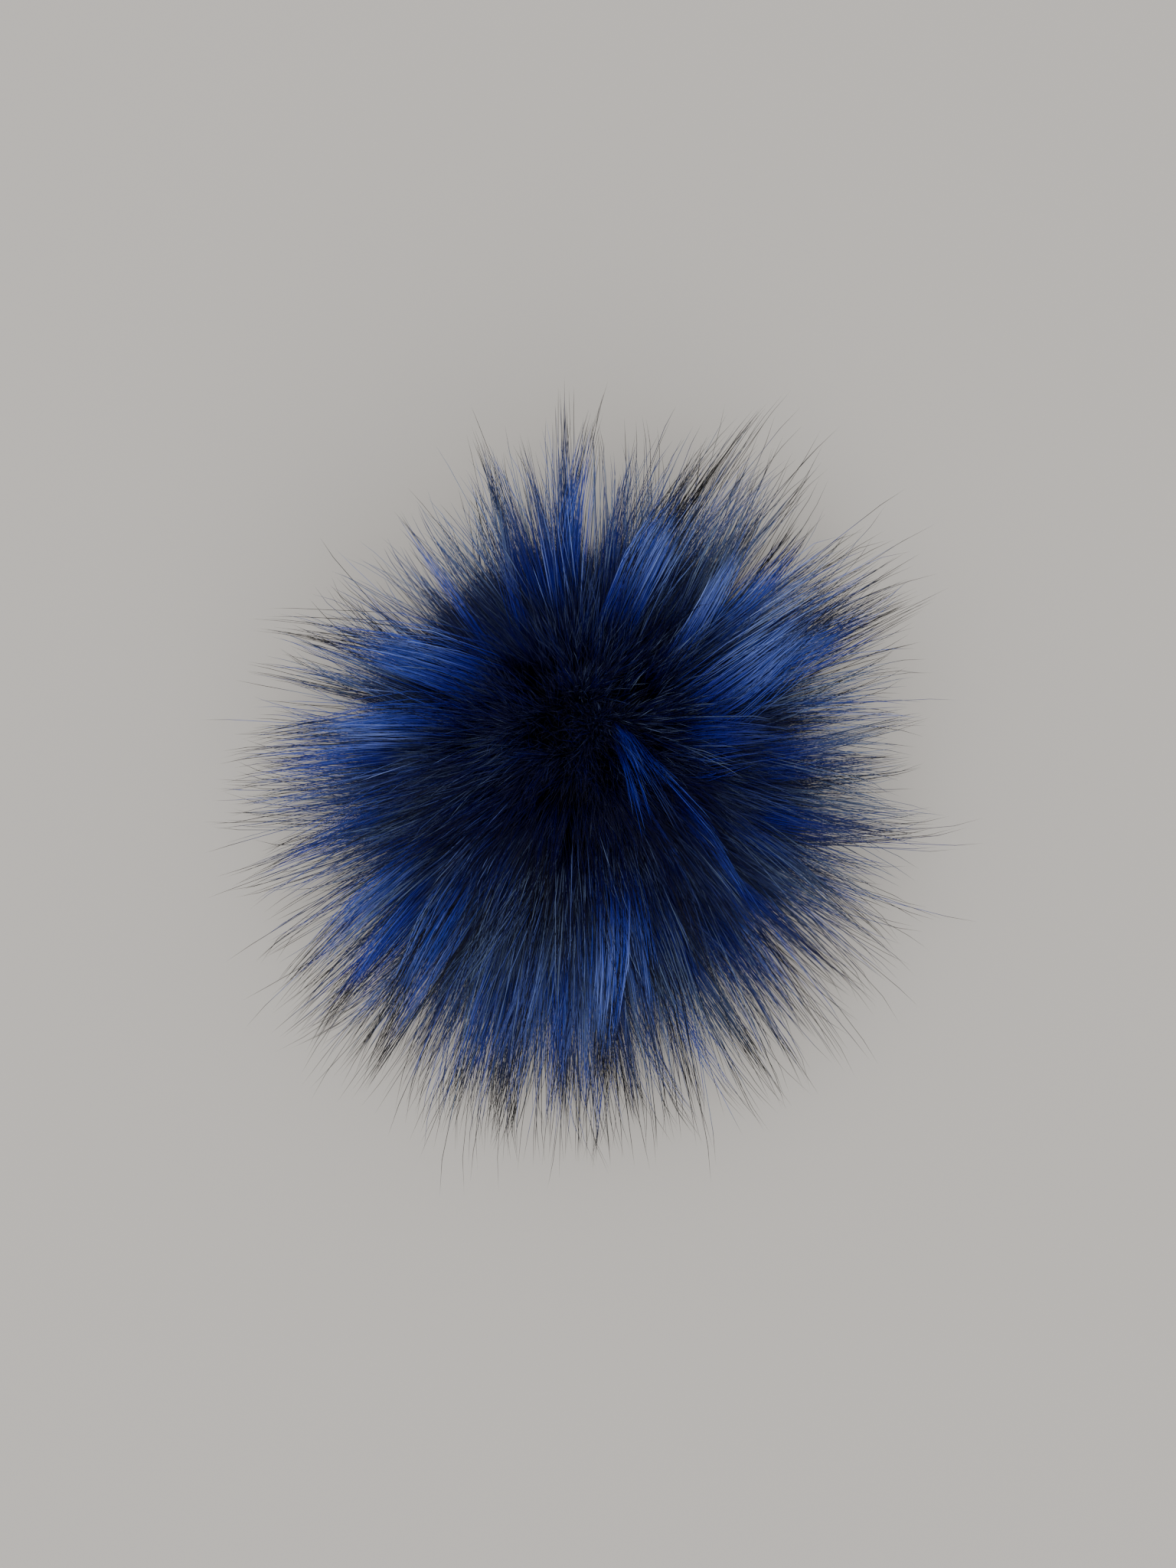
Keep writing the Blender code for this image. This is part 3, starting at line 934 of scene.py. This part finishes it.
@dataclass(frozen=True)
class LesserTufts:
    """The rule for the many smaller tufts between those of the table."""

    count: int = 80
    seed: int = 77
    reaches: Pair = (0.056, 0.079)
    heights: Pair = (0.008, 0.044)
    widths: Pair = (2.6 * MM, 5.0 * MM)
    by_side: float = 0.75  # how much of the difference between the sides their reach takes
    drawn_in: Pair = (1.06, 0.92)  # factors on the reach of the lowest and of the highest
    root_angles: Pair = (84.0, 38.0)  # of the lowest and of the highest
    angle_stray: float = 4.0
    lean: float = 7.0  # how many degrees the root may lie to one side of the tip
    bow: float = 1.0 * MM
    tones: tuple[Tone, ...] = (ROYAL, NAVY, ROYAL, SLATE, NAVY, BRIGHT)

    def tufts(self) -> tuple[Tuft, ...]:
        """Spreads the tufts evenly round the pom pom.

        Returns:
            The tufts.
        """
        rng = random.Random(self.seed)
        rows = []
        for number in range(self.count):
            azimuth = 360.0 * (number + rng.random()) / self.count
            height = rng.uniform(*self.heights)
            drawn_in = np.interp(height, self.heights, self.drawn_in)
            root_angle = np.interp(height, self.heights, self.root_angles)
            tone = SLATE if rng.random() < Side.SLATE.at(azimuth) else rng.choice(self.tones)
            on_side = 1.0 - self.by_side + self.by_side * Side.LENGTH.at(azimuth)
            rows.append(Tuft(
                azimuth=azimuth,
                reach=rng.uniform(*self.reaches) * on_side * drawn_in,
                tip_z=height,
                root_azimuth=azimuth + rng.gauss(0.0, self.lean),
                root_angle=root_angle + rng.uniform(-self.angle_stray, self.angle_stray),
                bow=rng.gauss(0.0, self.bow),
                width=rng.uniform(*self.widths),
                tone=tone,
            ))
        return tuple(rows)


@dataclass(kw_only=True)
class TuftCoat(HairPiece):
    """Tufts of long hairs, each made of a few strands."""

    tufts: tuple[Tuft, ...]
    lay: PileLay = PileLay()
    shares: Row = (0.0, 0.26, 0.60, 0.92, 1.0)
    thickness: Row = (0.0, 1.0, 0.92, 0.62, 0.0)
    hairs_per_width: float = 14.0 / MM
    shortest: float = 0.50
    longest: float = 1.03
    few_long: float = 0.70
    frizz: float = 0.8 * MM
    most_frizz: float = 2.0
    hairs_in_strand: int = 9
    shortest_strand: float = 0.78
    strand_spread: float = 0.55  # how far strands lie from the middle of their tuft, beside its half width
    hair_spread: float = 0.6  # how far hairs lie from the middle of their strand
    closing: float = 0.35  # how much closer the hairs of a strand come together towards their ends
    # How wide a tuft is on the way from its root to its tip, beside its width in the table.
    widening: tuple[Row, Row] = ((0.0, 0.45, 1.0), (0.7, 1.0, 0.5))
    light: float = 0.45
    uneven: Pair = (0.12, 0.34)  # how much strands and hairs differ in shade; the spread between single hairs is partly painted highlight, the glints of lit hairs

    def grow(self, finish: PileFinish) -> Hairs:
        """Grows every tuft's hairs along a curve from its root to its tip.

        Args:
            finish: The finish, whose shades are spread over the hairs.

        Returns:
            The hairs.
        """
        rng = np.random.default_rng(self.seed)
        hairs_of = np.array([round(tuft.width * self.hairs_per_width) for tuft in self.tufts])
        which = np.repeat(np.arange(len(self.tufts)), hairs_of)
        count = len(which)

        def column(name: str) -> Array:
            """One column of the table, with a value for each hair."""
            return np.array([getattr(tuft, name) for tuft in self.tufts])[which]

        tones = np.array([tuft.tone.value for tuft in self.tufts])[which]
        root_turn = np.radians(column("root_angle"))
        outward = place_at(np.radians(column("root_azimuth")), np.sin(root_turn), np.cos(root_turn))
        root = self.lay.ball_points(outward)
        full = np.linalg.norm(self.lay.full_tips(outward) - root, axis=1)
        tip = place_at(np.radians(column("azimuth")), column("reach"), column("tip_z"))
        chord = tip - root
        side = unit(np.cross(np.array([0.0, 0.0, 1.0]), chord))
        over = unit(np.cross(chord, side))
        middle = self.lay.bend_above(outward, root, tip) + side * column("bow")[:, None]

        strand_of_tuft = np.maximum(hairs_of // self.hairs_in_strand, 2)
        first_strand = np.concatenate([[0], np.cumsum(strand_of_tuft)[:-1]])
        strand = first_strand[which] + rng.integers(0, MANY, count) % strand_of_tuft[which]
        strands = int(strand_of_tuft.sum())
        strand_place = rng.normal(size=(strands, 2)) * self.strand_spread
        strand_length = rng.uniform(self.shortest_strand, 1.0, strands)
        for_strand, for_hair = self.uneven
        level = (self.light + Side.LIGHT.at(column("azimuth")) + for_strand * rng.normal(size=strands)[strand]
                 + for_hair * rng.normal(size=count))
        own_place = rng.normal(size=(count, 2)) * self.hair_spread
        share_of_tuft = self.shortest + (self.longest - self.shortest) * rng.random(count) ** self.few_long
        share_of_tuft *= strand_length[strand]
        bend = strays(rng, (count, 3), self.most_frizz) * self.frizz
        radius = rng.uniform(*self.radius, count)
        centres = np.empty((count, len(self.shares), 3))
        for station, share in enumerate(self.shares):
            gone = (share * share_of_tuft)[:, None]
            wide = np.interp(gone[:, 0], *self.widening) * column("width") / 2.0
            place = (strand_place[strand] + own_place * (1.0 - self.closing * share)) * wide[:, None]
            centre = on_curve(root, middle, tip, gone)
            centre += side * place[:, :1] + over * place[:, 1:] * FRIZZ_HEIGHT
            centre += bend * share ** self.frizz_rise
            centre[:, 2] = np.maximum(centre[:, 2], radius)
            centres[:, station] = centre
        radii = radius[:, None] * np.array(self.thickness)
        reach = share_of_tuft * np.linalg.norm(chord, axis=1) / full
        return Hairs(self.shares, centres, radii, finish.shade_rows(tones, level), reach)


# ---- The ball of backing ----


@dataclass(frozen=True)
class KnitFinish:
    """Black knitted polyester backing, matte, with the ribs of its stitches."""

    name: str = "black_knitted_backing"
    # Both colours are darker than black knit under this light: painted shade from the pile that covers the
    # ball.
    colour: str = "#020204"
    worn: str = "#06060a"
    stitch: float = 1.1 * MM  # a machine-knitted backing has 20 to 25 stitches to the inch
    stitch_height: float = 0.25 * MM
    mottle_stitches: int = 6  # how many stitches wide the worn patches are
    roughness: float = 0.85
    specular: float = 0.06
    sheen: float = 0.02

    def material(self) -> bpy.types.Material:
        """The finish as a material on Object coordinates.

        Returns:
            The material.
        """
        material, tree, shader = new_material(self.name)
        place = add_node(tree, "ShaderNodeTexCoord").outputs["Object"]
        scale = 1.0 / self.stitch
        mottle = add_node(tree, "ShaderNodeTexNoise", inputs={
            "Vector": place, "Scale": scale / self.mottle_stitches, "Detail": 3.0})
        colour = add_node(tree, "ShaderNodeMix", {"data_type": "RGBA"}, {
            "Factor": mottle.outputs["Fac"], "A": linear(self.colour), "B": linear(self.worn)})
        tree.links.new(colour.outputs["Result"], shader.inputs["Base Color"])
        ribs, courses = (
            add_node(tree, "ShaderNodeTexWave", {"bands_direction": direction}, {
                "Vector": place, "Scale": scale / WAVE_TURN, "Distortion": 1.5, "Detail Scale": 2.0,
            }).outputs["Fac"] for direction in "XY")
        knit = add_node(tree, "ShaderNodeMath", {"operation": "MULTIPLY"}, {0: ribs, 1: courses})
        bump = add_node(tree, "ShaderNodeBump", inputs={
            "Height": knit.outputs[0], "Strength": 0.6, "Distance": self.stitch_height})
        tree.links.new(bump.outputs["Normal"], shader.inputs["Normal"])
        shader.inputs["Roughness"].default_value = self.roughness
        shader.inputs["Specular IOR Level"].default_value = self.specular
        shader.inputs["Sheen Weight"].default_value = self.sheen
        return material


@dataclass
class GatheredBall:
    """The round of backing, drawn up on a thread into a ball, with its gathers underneath."""

    lay: PileLay = PileLay()
    name: str = "gathered_backing"
    slot: str = "black_knit_backing"
    segments: int = 132
    rings: int = 56
    sunk: float = 0.4 * MM
    pleats: int = 22
    pleat_depth: float = 0.7 * MM
    pleat_ends: float = math.radians(120)
    pleat_sway: float = 0.7  # how unevenly the pleats lie, in three waves round the ball
    hole_depth: float = 2.2 * MM
    hole_radius: float = 4.0 * MM
    above_floor: float = 0.05 * MM

    def build(self, finish: KnitFinish) -> bpy.types.Object:
        """Builds the ball and adds it to the scene as a piece.

        Args:
            finish: The backing's finish.

        Returns:
            The new object.
        """
        bm = bmesh.new()
        bmesh.ops.create_uvsphere(bm, u_segments=self.segments, v_segments=self.rings, radius=1.0)
        directions = unit(np.array([vert.co[:] for vert in bm.verts]))
        places = self.lay.ball_points(directions) - directions * self.sunk
        angle = from_top(directions)
        azimuth = around(directions)
        gathered = np.clip((angle - self.pleat_ends) / (math.pi - self.pleat_ends), 0.0, 1.0)
        fold = np.abs(np.sin(azimuth * self.pleats / 2 + self.pleat_sway * np.sin(azimuth * 3))) - 0.5
        places -= directions * (fold * self.pleat_depth * np.sin(gathered * math.pi) ** 0.5)[:, None]
        from_middle = np.hypot(places[:, 0], places[:, 1])
        places[:, 2] = np.maximum(places[:, 2], self.above_floor)
        hole = self.hole_depth * np.exp(-(from_middle / self.hole_radius) ** 2)
        places[:, 2] += hole * (angle > self.pleat_ends)
        for vert, place in zip(bm.verts, places):
            vert.co = place
        bmesh.ops.triangulate(bm, faces=bm.faces[:])
        mesh = finished(bm, self.name)
        mesh.shade_smooth()
        piece = add_piece(self.name, mesh, finish.material(), self.slot)
        return piece


# ---- The studio ----


@dataclass(frozen=True)
class Studio:
    """A plain pale floor under soft light, and a camera that looks straight down."""

    floor_size: float = 6.0
    floor_colour: str = "#b9b4ad"
    floor_roughness: float = 0.9
    camera_height: float = 0.40
    aim: Pair = (0.0008, -0.0038)
    view_width: float = math.radians(35.2)
    sky: str = "#f1f2f5"
    sky_strength: float = 0.9

    def build_floor(self) -> None:
        """Lays the floor."""
        bm = bmesh.new()
        bmesh.ops.create_grid(bm, x_segments=1, y_segments=1, size=self.floor_size / 2)
        mesh = finished(bm, "floor")
        material, _, shader = new_material("pale_matte_floor")
        shader.inputs["Base Color"].default_value = linear(self.floor_colour)
        shader.inputs["Roughness"].default_value = self.floor_roughness
        mesh.materials.append(material)
        floor = add_object("floor", mesh)

    def add_light(self, name: str, place: Triple, size: float, watts: float) -> None:
        """Hangs a square soft light that faces the pom pom.

        Args:
            name: Its name.
            place: Its middle.
            size: How wide it is.
            watts: How bright it is.
        """
        light = bpy.data.lights.new(name, "AREA")
        light.shape = "SQUARE"
        light.size = size
        light.energy = watts
        lamp = add_object(name, light)
        lamp.location = place
        lamp.rotation_euler = (-lamp.location).to_track_quat("-Z", "Y").to_euler()

    def build(self) -> None:
        """Sets up the floor, the lights, the sky and the camera."""
        self.build_floor()
        self.add_light("overhead_softbox", place=(-0.25, 0.1, 1.5), size=1.6, watts=16.0)
        self.add_light("front_softbox", place=(0.35, -1.1, 0.9), size=1.0, watts=5.0)
        world = bpy.data.worlds.new("soft_sky")
        bpy.context.scene.world = world
        world.use_nodes = True
        background = world.node_tree.nodes["Background"]
        background.inputs["Color"].default_value = linear(self.sky)
        background.inputs["Strength"].default_value = self.sky_strength
        camera = bpy.data.cameras.new("camera")
        camera.sensor_fit = "HORIZONTAL"
        camera.angle = self.view_width
        camera.clip_start = 0.01
        view = add_object("camera", camera)
        view.location = (*self.aim, self.camera_height)
        bpy.context.scene.camera = view


# ---- The whole pom pom ----


def underfur(locks: Locks) -> list[Coat]:
    """The short, fine coat that hides the ball, in four pieces.

    Args:
        locks: The locks that its hairs gather into.

    Returns:
        The pieces.
    """
    return [
        Coat(
            locks=locks, name=f"navy_underfur_{part}", slot="navy_underfur", hairs=26000, seed=100 + number,
            shares=(0.0, 0.62, 1.0), thickness=(0.0, 1.0, 0.0), radius=(0.052 * MM, 0.075 * MM),
            shortest=0.25, longest=0.46, few_long=1.0, of_full=True, by_side=0.5, to_tuft=0.30, to_lock=0.10,
            tuft_stray=0.0, frizz=2.4 * MM, uneven=(0.14, 0.10, 0.26),
            # Near the top, ink is partly painted shade down in the parting.
            tone_chances=((0, 1, 0, 0, 0, 0), (22, 0.8, 0.1, 0.1, 0, 0),
                          (42, 0.08, 0.3, 0.54, 0.08, 0), (148, 0.15, 0.35, 0.5, 0, 0)),
        )
        for number, part in enumerate(("a", "b", "c", "d"))
    ]


def guard_hair(locks: Locks) -> list[Coat]:
    """The coats of longer hair.

    Args:
        locks: The locks that their hairs gather into.

    Returns:
        The coats.
    """
    fringe = Coat(
        locks=locks, name="slate_fringe_hair", hairs=4500, seed=250,
        radius=(0.045 * MM, 0.065 * MM),
        shortest=0.38, longest=0.74, few_long=1.8, of_full=True, to_tuft=0.35, to_lock=0.2,
        tuft_stray=1.0 * MM, frizz=1.4 * MM, wild=0.25, wild_frizz=5.0 * MM, uneven=(0.12, 0.12, 0.26),
        # Near the top, ink is partly painted shade down in the parting.
        tone_chances=((0, 1, 0, 0, 0, 0), (25, 0.8, 0.2, 0, 0, 0),
                      (40, 0.1, 0.25, 0.45, 0.2, 0), (148, 0.1, 0.25, 0.45, 0.2, 0)),
    )
    guard = Coat(
        locks=locks, name="royal_guard_hair", hairs=6200, seed=200,
        radius=(0.055 * MM, 0.075 * MM), few_long=2.2, tufts=3, at_crown=0.8,
        to_tuft=0.68, to_lock=0.62, tuft_stray=2.0 * MM, frizz=0.9 * MM, wild=0.08, uneven=(0.12, 0.12, 0.32),
        # Near the top, ink is partly painted shade down in the parting.
        tone_chances=((0, 1, 0, 0, 0, 0), (18, 0.85, 0.1, 0.05, 0, 0),
                      (32, 0.28, 0.37, 0.25, 0.1, 0), (50, 0.05, 0.3, 0.28, 0.29, 0.08),
                      (148, 0.05, 0.35, 0.25, 0.3, 0.05)),
    )
    tips = Coat(
        locks=locks, name="black_tipped_hair", hairs=6300, seed=300,
        shares=(0.0, 0.35, 0.90, 1.0), thickness=(0.0, 1.0, 0.72, 0.0),
        radius=(0.065 * MM, 0.090 * MM), shortest=0.56, longest=1.14, few_long=1.15, of_full=True,
        at_crown=0.45, by_side=0.7, tufts=3, to_tuft=0.70, to_lock=0.75, tuft_stray=2.0 * MM,
        frizz=1.2 * MM, wild=0.30,
    )
    return [fringe, guard, tips]


def main() -> None:
    """Dresses the frame with the pom pom and sets up the studio."""
    logging.basicConfig(level=logging.INFO, format="%(name)s: %(message)s")
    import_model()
    GatheredBall().build(KnitFinish())
    locks = Locks()
    fur = PileFinish()
    # In this finish and in the tufts' one below, the root and deep colours are painted shade from deep in the
    # pile.
    short_fur = PileFinish(name="dyed_underfur", deep="#080a36", root_ends=(0.03, 0.10), root_fade=0.13,
                           deep_fade=0.22, roughness=0.5)
    for coat in underfur(locks):
        coat.build(short_fur)
    tuft_fur = PileFinish(name="dyed_tufts",
                          dyes=PileFinish.dyes[:3] + (("#0c1488", "#566ec6"), ("#1c34a4", "#7c92d4")),
                          deep="#080b78", root_ends=(0.06, 0.16), root_fade=0.18, deep_fade=0.40)
    for coat in guard_hair(locks):
        coat.build(fur)
    TuftCoat(name="royal_show_tufts", tufts=show_tufts(), seed=400).build(tuft_fur)
    TuftCoat(name="lesser_tufts", tufts=LesserTufts().tufts(), seed=500, hairs_per_width=5.5 / MM).build(fur)
    Studio().build()


if __name__ == "__main__":
    main()
